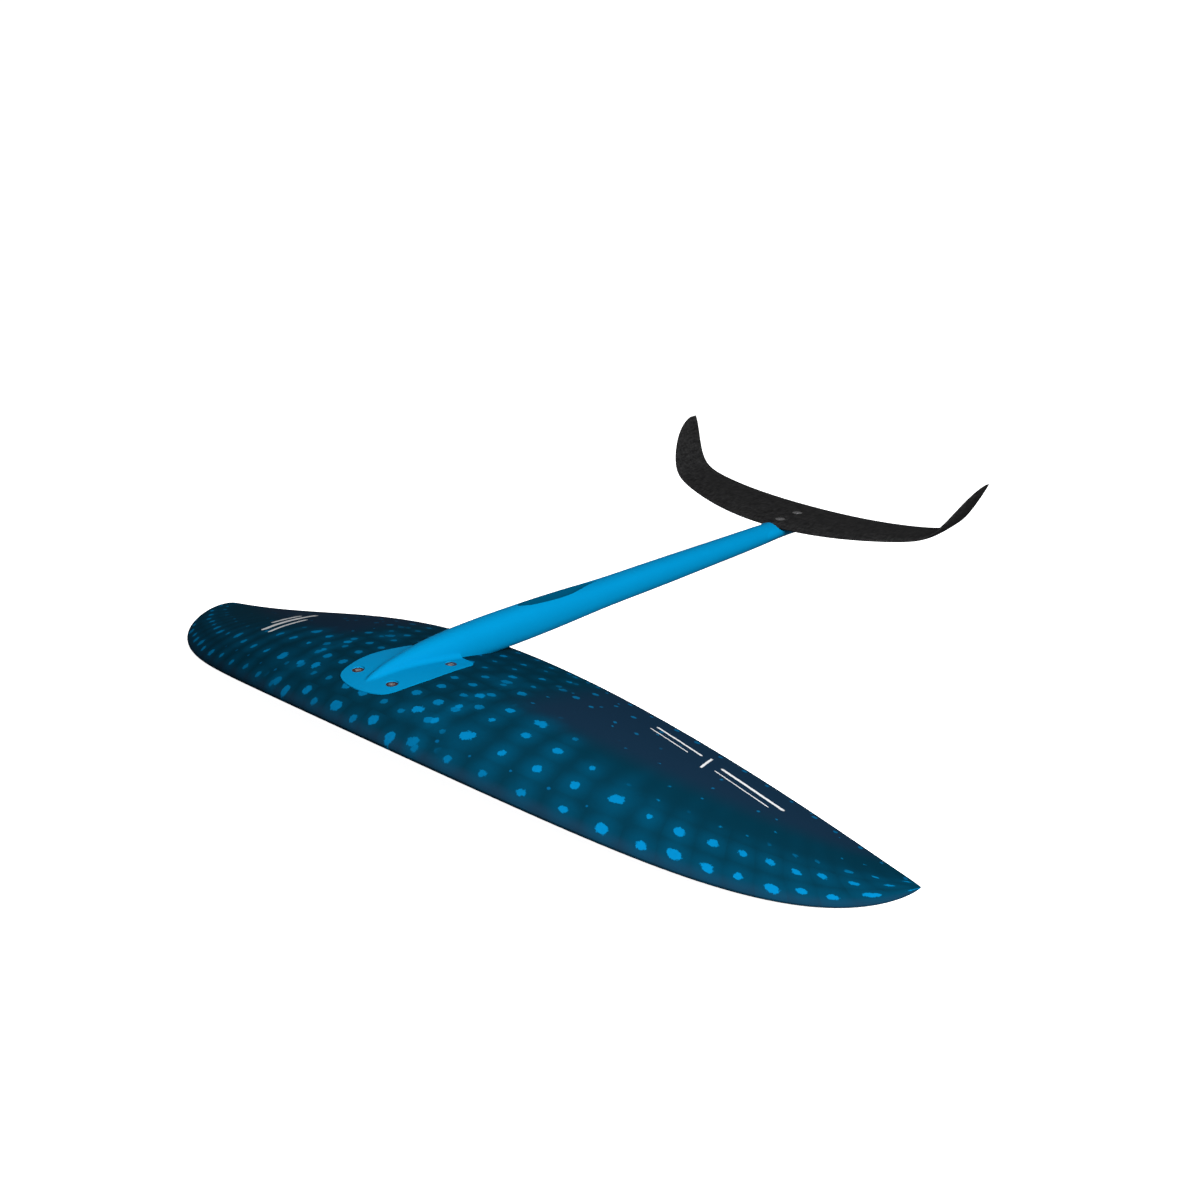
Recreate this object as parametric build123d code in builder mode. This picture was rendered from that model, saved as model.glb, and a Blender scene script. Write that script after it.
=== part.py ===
from build123d import *

import os
from math import cos, pi, radians, sin, sqrt, tanh

# A hydrofoil: front wing, one-piece fuselage with mast socket, and stabiliser. X points forward,
# Y to port and Z up. The origin is on the floor of the mast socket, midway between the two mast
# bolts. Everything is in millimetres.

# ---- driving dimensions ----------------------------------------------------------------------

# front wing
WING_HALF_SPAN = 485.0
WING_ROOT_LE = 307.0
WING_ROOT_TE = 71.0
WING_TIP_X = 70.0
WING_LE_SWEEP = (-200.0, 79.0)  # change of the leading edge with eta^2 and eta^4
WING_TE_SWEEP = (-69.0, 56.0)
WING_DROOP = (-149.0, 71.0)
WING_CHORD_Z = -24.0
WING_LE_ROUNDING = 7.5
WING_TE_ROUNDING = 5.0
WING_THICKNESS = 0.144
WING_CAMBER = 0.0445
CAMBER_PLACE = 0.4  # share of the chord where the camber is greatest
WING_CORE_SCALE = 0.88
WING_CORE_END = 0.90
BLOCK_HALF_WIDTH = 55.0
TIP_MARGIN = 2.0  # reach of the wing's parting surface past its tips

# stabiliser
STAB_HALF_LENGTH = 244.3  # along the curved span line, from the middle to a tip
STAB_ROOT_LE = -338.0
STAB_ROOT_TE = -424.5
STAB_TIP_X = -452.8
STAB_LE_SWEEP = (-67.9, 41.1)
STAB_TE_SWEEP = (4.1, -37.1)
STAB_LE_ROUNDING = 3.1
STAB_TE_ROUNDING = 2.5
STAB_DISH = 0.162  # rise of the span line's slope along the half length, in radians
STAB_BEND = 0.992  # radians that the span line turns up by where the tips begin
STAB_BEND_PLACE = 0.754  # share of the half length at the middle of that bend
STAB_BEND_SPREAD = 0.071
STAB_LE_Z = 10.2
STAB_NOSE_DOWN = 1.7  # degrees
STAB_THICKNESS = 0.09
STAB_CORE_SCALE = 0.72
STAB_CORE_END = 0.60
SHIM_THICKNESS = 0.8

# fuselage: x, half width, top, bottom and fullness of the rounded body at each station, nose to
# tail. A fullness of 0.55 makes the section an ellipse, and more makes it squarer.
BODY_STATIONS = (
    (268.0, 3.0, -4.0, -14.0, 0.58),
    (256.0, 5.2, 4.0, -14.0, 0.58),
    (243.0, 7.0, 8.9, -14.0, 0.60),
    (222.0, 9.0, 13.6, -14.5, 0.62),
    (196.0, 11.8, 17.6, -15.0, 0.64),
    (165.0, 14.4, 20.1, -15.5, 0.64),
    (125.0, 15.7, 21.4, -16.0, 0.64),
    (64.0, 16.0, 21.5, -16.1, 0.64),
    (5.0, 15.6, 20.2, -14.8, 0.64),
    (-55.0, 15.0, 17.7, -12.6, 0.64),
    (-100.0, 14.5, 17.1, -12.2, 0.63),
    (-150.0, 14.0, 16.6, -11.8, 0.62),
    (-250.0, 13.0, 15.1, -10.1, 0.58),
    (-318.0, 12.4, 14.4, -8.8, 0.52),
    (-380.0, 11.6, 13.6, -8.0, 0.50),
    (-412.0, 10.6, 12.0, -6.5, 0.52),
    (-424.0, 6.5, 8.0, 0.0, 0.55),
)
BODY_WIDTH = 32.0  # at its widest
BODY_WALL = 2.6
BOOM_CORE_FRONT = -100.0
BOOM_CORE_REAR = -318.0

# front plate, which is part of the fuselage
PLATE_TIP = (275.0, 0.0)
PLATE_SIDE = ((190.0, 40.5), (222.0, 42.5), (249.0, 39.0), (266.0, 31.5), (272.0, 20.0))
PLATE_REAR = (158.0, 36.5)
PLATE_SHOULDER_X = 258.0  # the plate narrows ahead of this
PLATE_PROUD = 0.7
RIDGE_ROUNDING = 5.0  # where the body rises out of the plate
PLATE_SEAT_DEPTH = 1.6
PLATE_CLEARANCE = 0.3
PLATE_CORNER = 7.0
SCREW_FRONT = (251.0, 24.0)
SCREW_REAR = (180.0, 25.5)

# mast socket, by the half width of the mast's foot from its nose to its tail, and its bolts
SOCKET_NOSE = (66.5, 0.0)
SOCKET_SIDE = ((60.0, 4.2), (46.0, 7.1), (18.0, 8.7), (-8.0, 7.4), (-30.0, 2.9), (-46.0, 0.4))
MAST_BOLT_SPACING = 36.0
MAST_BOLT_HOLE_R = 4.25
BUSH_R = 6.5
BUSH_LENGTH = 8.0
FLANGE_R = 8.0
FLANGE_THICKNESS = 1.5

# M6 countersunk screws and the threaded inserts they go into
SCREW_R = 3.0
SCREW_CHAMFER = 1.0
SCREW_HOLE_R = 3.3
HEAD_R = 5.7
HEAD_HEIGHT = 2.7
HEAD_SINK = 0.7  # the head sits this far under the surface
RIM_R = 6.3
RIM_REACH = 4.0
SOCKET_R = 2.0  # of the six-lobed drive
INSERT_R = 4.6
INSERT_RECESS = 1.4  # an insert stops this far under the plate
SCREW_HOLE_DEPTH = 9.5
BORE_MARGIN = 3.0  # a bore starts this far above its insert
WING_SCREW_LENGTH = 15.5
WING_INSERT_LENGTH = 13.0
STAB_SCREWS_X = (-356.7, -388.4)
STAB_SCREW_LENGTH = 18.0
STAB_INSERT_LENGTH = 11.0
STAB_INSERT_DROP = 8.5  # from the stabiliser's upper surface to the top of an insert

# tail pad, which widens the body under the stabiliser, by stations like the body's
PAD_STATIONS = (
    (-292.0, 9.0, 8.0, -6.0, 0.60),
    (-320.0, 12.8, 11.0, -5.6, 0.60),
    (-345.0, 14.8, 14.0, -4.5, 0.62),
    (-385.0, 15.0, 16.0, -2.5, 0.64),
    (-412.0, 14.6, 16.0, 1.0, 0.64),
    (-421.0, 12.5, 16.0, 5.0, 0.64),
)
SHIM_FRONT_X = -339.0
SHIM_REAR_X = -417.0
SHIM_HALF_WIDTH = 13.5
SHIM_CORNER = 6.0
NOSE_GAP = 0.4

STAB_CUT_LENGTH = 200.0
STAB_CUT_REAR = 140.0
STAB_CUT_REACH = 1.01  # the stabiliser's parting surface reaches this share of the half length
FAR = 400.0  # reach of the cutting shapes past the part
NEAR = 1.0  # slack when edges are picked by where they are
PROBE_R = 0.05  # of the needle that finds the height of a surface
SPAN_STEPS = 400  # along the stabiliser's curved span line


# ---- foil sections ---------------------------------------------------------------------------


def half_thickness(x, ratio):
    """Half thickness of the four-digit section at x, both as fractions of the chord."""
    return 5 * ratio * (0.2969 * sqrt(x) - 0.1260 * x - 0.3516 * x**2 + 0.2843 * x**3 - 0.1015 * x**4)


def chord_stations(count):
    """Points from 0 to 1, crowded towards the leading edge."""
    return [1 - cos(pi / 2 * i / count) for i in range(count + 1)]


def mean_line(x, camber):
    """Height of the four-digit mean line at x, both as fractions of the chord."""
    if x < CAMBER_PLACE:
        return camber * (2 * CAMBER_PLACE * x - x**2) / CAMBER_PLACE**2
    return camber * (1 - 2 * CAMBER_PLACE + 2 * CAMBER_PLACE * x - x**2) / (1 - CAMBER_PLACE) ** 2


def foil_section(plane, chord, ratio, camber, scale=1.0, pivot=0.45):
    """A foil section on its plane, nose at the plane's origin and tail along +x.

    A scale under 1 shrinks the section about a point on its chord line.
    """
    xs = chord_stations(12)
    mean = [mean_line(x, camber) for x in xs]
    size = chord * scale
    shift = chord * (1 - scale) * pivot
    upper = [(shift + size * x, size * (m + half_thickness(x, ratio))) for x, m in zip(xs, mean)]
    lower = [(shift + size * x, size * (m - half_thickness(x, ratio))) for x, m in zip(xs, mean)]
    with BuildSketch(plane) as section:
        with BuildLine():
            Spline(*reversed(upper), *lower[1:])
            Line(lower[-1], upper[-1])
        make_face()
    return section.sketch


def edge_x(eta, root, sweep, tip, rounding):
    """Where an edge of a planform lies at eta, 0 at the root and 1 at the tip."""
    straight = root + sweep[0] * eta**2 + sweep[1] * eta**4
    return tip + (straight - tip) * sqrt(1 - eta**rounding)


def mirrored(stations):
    """The same stations on both sides, from the starboard tip to the port tip."""
    return [-s for s in reversed(stations)] + [0.0] + list(stations)


def wing_z(eta):
    return WING_CHORD_Z + WING_DROOP[0] * eta**2 + WING_DROOP[1] * eta**4


def wing_section(side_eta, scale=1.0):
    """The wing's section at a signed share of the half span."""
    eta = abs(side_eta)
    nose = edge_x(eta, WING_ROOT_LE, WING_LE_SWEEP, WING_TIP_X, WING_LE_ROUNDING)
    tail = edge_x(eta, WING_ROOT_TE, WING_TE_SWEEP, WING_TIP_X, WING_TE_ROUNDING)
    plane = Plane(
        origin=(nose, side_eta * WING_HALF_SPAN, wing_z(eta)), x_dir=(-1, 0, 0), z_dir=(0, 1, 0)
    )
    return foil_section(plane, nose - tail, WING_THICKNESS, WING_CAMBER, scale)


def stab_slope(s):
    """Angle of the stabiliser's span line above the horizontal, in radians."""
    turned_up = (1 + tanh((s - STAB_BEND_PLACE) / STAB_BEND_SPREAD)) / 2
    return STAB_DISH * s + STAB_BEND * turned_up


def stab_span_point(side_s):
    """(y, z) on the span line, z from the middle of the stabiliser, by summing short steps."""
    y = z = 0.0
    for i in range(SPAN_STEPS):
        slope = stab_slope(abs(side_s) * (i + 0.5) / SPAN_STEPS)
        y += cos(slope)
        z += sin(slope)
    length = STAB_HALF_LENGTH * side_s / SPAN_STEPS
    return y * length, z * abs(length)


TILT = radians(STAB_NOSE_DOWN)
CHORDWISE = Vector(-cos(TILT), 0, sin(TILT))  # from nose to tail, rising


def stab_section(side_s, scale=1.0):
    """The stabiliser's section at a signed share of its half length, square to the span line."""
    s = abs(side_s)
    nose = edge_x(s, STAB_ROOT_LE, STAB_LE_SWEEP, STAB_TIP_X, STAB_LE_ROUNDING)
    tail = edge_x(s, STAB_ROOT_TE, STAB_TE_SWEEP, STAB_TIP_X, STAB_TE_ROUNDING)
    y, z = stab_span_point(side_s)
    slope = stab_slope(s) * (1 if side_s >= 0 else -1)
    origin = Vector(STAB_ROOT_LE, y, STAB_LE_Z + z) + CHORDWISE * (STAB_ROOT_LE - nose)
    plane = Plane(origin=origin, x_dir=CHORDWISE, z_dir=(0, cos(slope), sin(slope)))
    return foil_section(plane, nose - tail, STAB_THICKNESS, 0.0, scale)


# ---- whole foils, before they are cut into pieces ----------------------------------------------

WING_STATIONS = (0.12, 0.24, 0.36, 0.48, 0.60, 0.70, 0.79, 0.86, 0.915, 0.955, 0.98, 0.993, 0.999)
WING_CORE_STATIONS = (0.12, 0.24, 0.36, 0.48, 0.60, 0.70, 0.79, 0.86, WING_CORE_END)

with BuildPart() as wing_form:
    loft(sections=[wing_section(eta) for eta in mirrored(WING_STATIONS)])

with BuildPart() as wing_core_form:
    loft(sections=[wing_section(eta, WING_CORE_SCALE) for eta in mirrored(WING_CORE_STATIONS)])


STAB_STATIONS = (0.15, 0.30, 0.45, 0.57, 0.65, 0.70, 0.74, 0.78, 0.82, 0.87, 0.92, 0.96, 0.985, 0.996)
STAB_CORE_STATIONS = (0.15, 0.30, 0.45, STAB_CORE_END)

with BuildPart() as stab_form:
    loft(sections=[stab_section(s) for s in mirrored(STAB_STATIONS)])

with BuildPart() as stab_core_form:
    loft(sections=[stab_section(s, STAB_CORE_SCALE) for s in mirrored(STAB_CORE_STATIONS)])

# Everything under the wing's chord surface, which parts its two skins at the leading edge.
with BuildPart() as under_wing_chord:
    with BuildSketch(Plane.YZ.offset(-FAR)):
        with BuildLine():
            etas = [i / 10 for i in range(-10, 11)]
            reach = WING_HALF_SPAN + TIP_MARGIN
            chord_line = Spline(*[(eta * reach, wing_z(abs(eta))) for eta in etas])
            Polyline(chord_line @ 1, (reach, -FAR), (-reach, -FAR), chord_line @ 0)
        make_face()
    extrude(amount=2 * FAR)

# The hollow side of the stabiliser's chord surface, which parts its skins.
stab_chord_plane = Plane(origin=(STAB_ROOT_LE, 0, STAB_LE_Z), x_dir=(0, 1, 0), z_dir=-CHORDWISE)

with BuildPart() as over_stab_chord:
    with BuildSketch(stab_chord_plane.offset(-STAB_CUT_REAR)):
        with BuildLine():
            spans = [i / 32 for i in range(-32, 33)]
            span_line = Spline(*[stab_span_point(s * STAB_CUT_REACH) for s in spans])
            Line(span_line @ 1, span_line @ 0)
        make_face()
    extrude(amount=STAB_CUT_LENGTH)


# ---- front plate and its seat in the wing ------------------------------------------------------


def plate_outline(grow=0.0):
    """The plate's leaf shape seen from above, with its rear corners rounded."""
    rear = (PLATE_REAR[0] - grow, PLATE_REAR[1] + grow)
    tip = (PLATE_TIP[0] + grow, 0)
    # the points move outward by grow, and those near the tip forward too
    side = [rear] + [(x + grow * (x > PLATE_SHOULDER_X), y + grow) for x, y in PLATE_SIDE]
    with BuildSketch(Plane.XY.offset(-FAR / 2)) as outline:
        with BuildLine():
            edge = Spline(*side, tip, *[(x, -y) for x, y in reversed(side)])
            Line(edge @ 1, edge @ 0)
        make_face()
        fillet(outline.vertices(), PLATE_CORNER + grow)
    return outline.sketch


def wing_moved(height):
    """The whole wing, raised by height."""
    return Pos(0, 0, height) * wing_form.part


with BuildPart() as plate_form:
    add(plate_outline())
    extrude(amount=FAR)
    add(wing_moved(PLATE_PROUD), mode=Mode.INTERSECT)
    add(wing_moved(-PLATE_SEAT_DEPTH), mode=Mode.SUBTRACT)
    # the moved wing's underside also leaves a sheet below, which is cut away
    with BuildSketch(Plane.XY.offset(WING_CHORD_Z)):
        Rectangle(2 * FAR, FAR)
    extrude(amount=-FAR, mode=Mode.SUBTRACT)

with BuildPart() as plate_seat:
    add(plate_outline(PLATE_CLEARANCE))
    extrude(amount=FAR)
    add(wing_moved(-PLATE_SEAT_DEPTH), mode=Mode.SUBTRACT)
    with BuildSketch(Plane.XY.offset(WING_CHORD_Z)):
        Rectangle(2 * FAR, FAR)
    extrude(amount=-FAR, mode=Mode.SUBTRACT)

# The wing as the fuselage meets it.
with BuildPart() as seated_wing:
    add(wing_form.part)
    add(plate_seat.part, mode=Mode.SUBTRACT)


# ---- fuselage forms ----------------------------------------------------------------------------


def body_section(x, half_width, top, bottom, fullness, inset=0.0):
    """The rounded section of the body at x: four curves, one for each quarter."""
    w = half_width - inset
    h = (top - bottom) / 2 - inset
    middle = (top + bottom) / 2
    corners = [(w, 0), (0, h), (-w, 0), (0, -h)]
    with BuildSketch(Plane(origin=(x, 0, middle), x_dir=(0, 1, 0), z_dir=(1, 0, 0))) as section:
        with BuildLine():
            for (ax, ay), (bx, by) in zip(corners, corners[1:] + corners[:1]):
                towards_b = (ax + fullness * bx, ay + fullness * by)
                towards_a = (bx + fullness * ax, by + fullness * ay)
                Bezier((ax, ay), towards_b, towards_a, (bx, by))
        make_face()
    return section.sketch


with BuildPart() as body_form:
    loft(sections=[body_section(*station) for station in reversed(BODY_STATIONS)])

with BuildPart() as boom_core_form:
    boom = [s for s in BODY_STATIONS if BOOM_CORE_REAR <= s[0] <= BOOM_CORE_FRONT]
    loft(sections=[body_section(*station, inset=BODY_WALL) for station in reversed(boom)])


with BuildPart() as pad_form:
    loft(sections=[body_section(*station) for station in reversed(PAD_STATIONS)])

lowered_stab = Pos(0, 0, -SHIM_THICKNESS) * stab_form.part

# The room that the stabiliser and its shim take out of the tail.
with BuildPart() as stab_room:
    add(stab_form.part)
    add(lowered_stab)
    with BuildSketch(stab_chord_plane.offset(NOSE_GAP)):
        Rectangle(4 * SHIM_HALF_WIDTH, 2 * FAR, align=(Align.CENTER, Align.MIN))
    extrude(amount=-STAB_CUT_LENGTH)

with BuildPart() as socket_form:
    with BuildSketch():
        with BuildLine():
            port = list(reversed(SOCKET_SIDE))
            around = Spline(*port, SOCKET_NOSE, *[(x, -y) for x, y in SOCKET_SIDE])
            Line(around @ 1, around @ 0)
        make_face()
    extrude(amount=FAR)


# ---- screws, inserts and bushes, each made at the origin and then placed -----------------------


def turned(points):
    """A solid of revolution about Z from its (radius, height) outline."""
    with BuildPart() as body:
        with BuildSketch(Plane.XZ):
            with BuildLine():
                Polyline(*points, close=True)
            make_face()
        revolve(axis=Axis.Z)
    return body.part


def countersunk_screw(length):
    """A screw whose head lies HEAD_SINK under z = 0, with a six-lobed socket."""
    shank = turned(
        [
            (0, -HEAD_SINK),
            (HEAD_R, -HEAD_SINK),
            (SCREW_R, -HEAD_SINK - HEAD_HEIGHT),
            (SCREW_R, SCREW_CHAMFER - HEAD_SINK - length),
            (SCREW_R - SCREW_CHAMFER, -HEAD_SINK - length),
            (0, -HEAD_SINK - length),
        ]
    )
    with BuildPart() as screw:
        add(shank)
        with BuildSketch(Plane.XY.offset(-HEAD_SINK)):
            Circle(SOCKET_R)
            with PolarLocations(SOCKET_R, 6):
                Circle(SOCKET_R / 4)
        extrude(amount=-SOCKET_R, mode=Mode.SUBTRACT)
    return screw.part


def threaded_insert(length):
    """A sleeve with its top at z = 0."""
    return turned([(SCREW_R, 0), (INSERT_R, 0), (INSERT_R, -length), (SCREW_R, -length)])


def upper_surface(solid, x, y):
    """Height of the solid's upper surface at (x, y)."""
    probe = Solid.make_cylinder(PROBE_R, 2 * FAR, Plane(origin=(x, y, -FAR)))
    return (solid & probe).bounding_box().max.Z


def placed(piece, heights, drop=0.0):
    """Copies of a piece, one at each (x, y), drop below the height given for it."""
    return [Pos(x, y, z - drop) * piece for (x, y), z in heights.items()]


def pair(place):
    """The port and starboard places of a screw."""
    return [place, (place[0], -place[1])]


front_tops = {place: upper_surface(plate_form.part, *place) for place in pair(SCREW_FRONT)}
rear_tops = {place: upper_surface(plate_form.part, *place) for place in pair(SCREW_REAR)}
stab_tops = {(x, 0.0): upper_surface(stab_form.part, x, 0.0) for x in STAB_SCREWS_X}
pad_tops = {place: top - STAB_INSERT_DROP for place, top in stab_tops.items()}
bolt_places = {(MAST_BOLT_SPACING / 2, 0.0): 0.0, (-MAST_BOLT_SPACING / 2, 0.0): 0.0}
insert_drop = PLATE_PROUD + PLATE_SEAT_DEPTH + INSERT_RECESS

screw_hole = turned(
    [
        (0, RIM_REACH),
        (RIM_R, RIM_REACH),
        (RIM_R, 0),
        (HEAD_R, -HEAD_SINK),
        (SCREW_HOLE_R, SCREW_HOLE_R - HEAD_R - HEAD_SINK),
        (SCREW_HOLE_R, -SCREW_HOLE_DEPTH),
        (0, -SCREW_HOLE_DEPTH),
    ]
)
bush_hole = turned(
    [
        (0, 0),
        (BUSH_R, 0),
        (BUSH_R, -BUSH_LENGTH),
        (FLANGE_R, -BUSH_LENGTH),
        (FLANGE_R, -FAR),
        (0, -FAR),
    ]
)
bush = turned(
    [
        (MAST_BOLT_HOLE_R, 0),
        (BUSH_R, 0),
        (BUSH_R, -BUSH_LENGTH),
        (FLANGE_R, -BUSH_LENGTH),
        (FLANGE_R, -BUSH_LENGTH - FLANGE_THICKNESS),
        (MAST_BOLT_HOLE_R, -BUSH_LENGTH - FLANGE_THICKNESS),
    ]
)


def insert_bore(length):
    """What is cut for an insert with its top at z = 0."""
    return turned([(0, BORE_MARGIN), (INSERT_R, BORE_MARGIN), (INSERT_R, -length), (0, -length)])


# ---- front wing --------------------------------------------------------------------------------

insert_bores = placed(insert_bore(WING_INSERT_LENGTH), front_tops | rear_tops, insert_drop)
tail_bores = placed(insert_bore(STAB_INSERT_LENGTH), pad_tops)

with BuildPart() as wing_upper_skin:
    add(wing_form.part)
    add(under_wing_chord.part, mode=Mode.SUBTRACT)
    add(wing_core_form.part, mode=Mode.SUBTRACT)
    add(plate_seat.part, mode=Mode.SUBTRACT)
    add(insert_bores, mode=Mode.SUBTRACT)

with BuildPart() as wing_lower_skin:
    add(wing_form.part)
    add(under_wing_chord.part, mode=Mode.INTERSECT)
    add(wing_core_form.part, mode=Mode.SUBTRACT)

with BuildPart() as wing_centre_block:
    add(wing_core_form.part)
    split(bisect_by=Plane.XZ.offset(-BLOCK_HALF_WIDTH), keep=Keep.TOP)
    split(bisect_by=Plane.XZ.offset(BLOCK_HALF_WIDTH), keep=Keep.BOTTOM)
    add(insert_bores, mode=Mode.SUBTRACT)

with BuildPart() as wing_core_port:
    add(wing_core_form.part)
    split(bisect_by=Plane.XZ.offset(-BLOCK_HALF_WIDTH), keep=Keep.BOTTOM)

with BuildPart() as wing_core_starboard:
    add(wing_core_form.part)
    split(bisect_by=Plane.XZ.offset(BLOCK_HALF_WIDTH), keep=Keep.TOP)

wing_insert = threaded_insert(WING_INSERT_LENGTH)
wing_screw = countersunk_screw(WING_SCREW_LENGTH)

with BuildPart() as wing_inserts_front:
    add(placed(wing_insert, front_tops, insert_drop))

with BuildPart() as wing_inserts_rear:
    add(placed(wing_insert, rear_tops, insert_drop))

with BuildPart() as wing_screws_front:
    add(placed(wing_screw, front_tops))

with BuildPart() as wing_screws_rear:
    add(placed(wing_screw, rear_tops))

# ---- fuselage ----------------------------------------------------------------------------------

with BuildPart() as fuselage:
    add(body_form.part)
    add(plate_form.part)
    add(pad_form.part)
    add(seated_wing.part, mode=Mode.SUBTRACT)
    # the highest of the edges that run round the plate is the foot of the ridge on it
    on_plate = fuselage.edges().filter_by(lambda e: e.bounding_box().min.X > PLATE_REAR[0] - NEAR)
    long_edges = on_plate.filter_by(lambda e: e.length > PLATE_TIP[0] - PLATE_REAR[0] + BODY_WIDTH)
    fillet(long_edges.sort_by(lambda e: e.bounding_box().max.Z)[-1], RIDGE_ROUNDING)
    add(stab_room.part, mode=Mode.SUBTRACT)
    add(socket_form.part, mode=Mode.SUBTRACT)
    add(boom_core_form.part, mode=Mode.SUBTRACT)
    add(placed(screw_hole, front_tops | rear_tops), mode=Mode.SUBTRACT)
    add(placed(bush_hole, bolt_places), mode=Mode.SUBTRACT)
    add(tail_bores, mode=Mode.SUBTRACT)

with BuildPart() as fuselage_boom_core:
    add(boom_core_form.part)

with BuildPart() as mast_bolt_bushes:
    add(placed(bush, bolt_places))

# ---- stabiliser --------------------------------------------------------------------------------

with BuildPart() as stabiliser_upper_skin:
    add(stab_form.part)
    add(over_stab_chord.part, mode=Mode.INTERSECT)
    add(stab_core_form.part, mode=Mode.SUBTRACT)
    add(placed(screw_hole, stab_tops), mode=Mode.SUBTRACT)

with BuildPart() as stabiliser_lower_skin:
    add(stab_form.part)
    add(over_stab_chord.part, mode=Mode.SUBTRACT)
    add(stab_core_form.part, mode=Mode.SUBTRACT)
    add(placed(screw_hole, stab_tops), mode=Mode.SUBTRACT)

with BuildPart() as stabiliser_core:
    add(stab_core_form.part)
    add(placed(screw_hole, stab_tops), mode=Mode.SUBTRACT)

with BuildPart() as stabiliser_shim:
    with BuildSketch(Plane.XY.offset(-FAR / 2)):
        with Locations(((SHIM_FRONT_X + SHIM_REAR_X) / 2, 0)):
            RectangleRounded(SHIM_FRONT_X - SHIM_REAR_X, 2 * SHIM_HALF_WIDTH, SHIM_CORNER)
    extrude(amount=FAR)
    add(lowered_stab, mode=Mode.INTERSECT)
    add(stab_form.part, mode=Mode.SUBTRACT)
    add(placed(screw_hole, stab_tops), mode=Mode.SUBTRACT)

with BuildPart() as stabiliser_inserts:
    add(placed(threaded_insert(STAB_INSERT_LENGTH), pad_tops))

with BuildPart() as stabiliser_screws:
    add(placed(countersunk_screw(STAB_SCREW_LENGTH), stab_tops))

# ---- export ------------------------------------------------------------------------------------

pieces = {
    "wing_upper_skin": wing_upper_skin,
    "wing_lower_skin": wing_lower_skin,
    "wing_centre_block": wing_centre_block,
    "wing_core_port": wing_core_port,
    "wing_core_starboard": wing_core_starboard,
    "wing_inserts_front": wing_inserts_front,
    "wing_inserts_rear": wing_inserts_rear,
    "wing_screws_front": wing_screws_front,
    "wing_screws_rear": wing_screws_rear,
    "fuselage": fuselage,
    "fuselage_boom_core": fuselage_boom_core,
    "mast_bolt_bushes": mast_bolt_bushes,
    "stabiliser_upper_skin": stabiliser_upper_skin,
    "stabiliser_lower_skin": stabiliser_lower_skin,
    "stabiliser_core": stabiliser_core,
    "stabiliser_shim": stabiliser_shim,
    "stabiliser_inserts": stabiliser_inserts,
    "stabiliser_screws": stabiliser_screws,
}

os.makedirs("parts", exist_ok=True)
for name, piece in pieces.items():
    piece.part.label = name
    export_step(piece.part, f"parts/{name}.step")
    print(name, "solids", len(piece.part.solids()), "valid", piece.part.is_valid)
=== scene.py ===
import math

import bpy
from mathutils import Matrix, Vector


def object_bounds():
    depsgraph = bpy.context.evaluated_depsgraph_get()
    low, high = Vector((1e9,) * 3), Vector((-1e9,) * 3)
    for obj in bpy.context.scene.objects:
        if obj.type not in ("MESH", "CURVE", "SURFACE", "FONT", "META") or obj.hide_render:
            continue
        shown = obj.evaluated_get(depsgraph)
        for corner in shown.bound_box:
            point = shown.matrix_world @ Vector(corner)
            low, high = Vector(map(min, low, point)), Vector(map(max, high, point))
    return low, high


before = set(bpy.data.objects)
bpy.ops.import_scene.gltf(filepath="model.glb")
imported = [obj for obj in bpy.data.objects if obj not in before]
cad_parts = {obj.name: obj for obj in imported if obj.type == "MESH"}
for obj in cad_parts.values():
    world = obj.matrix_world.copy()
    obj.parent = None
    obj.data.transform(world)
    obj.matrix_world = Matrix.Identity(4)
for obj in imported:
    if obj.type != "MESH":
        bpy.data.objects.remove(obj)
cad_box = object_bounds()

MM = 0.001
WHITE = (1.0, 1.0, 1.0, 1.0)


# ---- camera --------------------------------------------------------------------------------------

CAMERA_AT = Vector((1.19833, 1.16903, 0.63776))
CAMERA_RIGHT = Vector((-0.68488495, 0.72861443, 0.00732284))
CAMERA_UP = Vector((-0.25125287, -0.24558299, 0.93624836))
CAMERA_BACK = Vector((0.68396243, 0.63938252, 0.35126255))
SENSOR_MM = 36.0
LENS_MM = 52.67
NEAREST_SEEN = 0.05
FURTHEST_SEEN = 200.0


def make_camera():
    data = bpy.data.cameras.new("camera")
    data.sensor_width = SENSOR_MM
    data.lens = LENS_MM
    data.clip_start = NEAREST_SEEN
    data.clip_end = FURTHEST_SEEN
    camera = bpy.data.objects.new("camera", data)
    bpy.context.scene.collection.objects.link(camera)
    turn = Matrix((CAMERA_RIGHT, CAMERA_UP, CAMERA_BACK)).transposed()
    camera.matrix_world = Matrix.Translation(CAMERA_AT) @ turn.to_4x4()
    bpy.context.scene.camera = camera


# ---- lights and floor ----------------------------------------------------------------------------

WORLD_STRENGTH = 0.15
FLOOR_HALF_SIDE = 40.0
FLOOR_DROP = 0.001  # under the lowest point of the object
FLOOR_GLOW = 0.97
BACKDROP_RADIUS = 34.0
BACKDROP_HEIGHT = 30.0
BACKDROP_DROP = 1.0  # under the lowest point of the object
BACKDROP_SIDES = 64
BACKDROP_GLOW = 1.0
STAGE_GREY = (0.86, 0.86, 0.86, 1.0)
STAGE_ROUGHNESS = 0.9
LIGHT_TARGET = Vector((0.0, 0.0, 0.0))
# name, direction from the object, distance, side of the square panel, strength in watts
PANELS = (
    ("key_panel", (0.40, 0.86, 0.62), 2.6, 1.1, 133.0),
    ("top_panel", (0.10, -0.60, 1.0), 2.4, 1.6, 9.0),
)


def make_world():
    world = bpy.data.worlds.new("studio")
    world.use_nodes = True
    background = world.node_tree.nodes["Background"]
    background.inputs["Color"].default_value = WHITE
    background.inputs["Strength"].default_value = WORLD_STRENGTH
    bpy.context.scene.world = world


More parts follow.
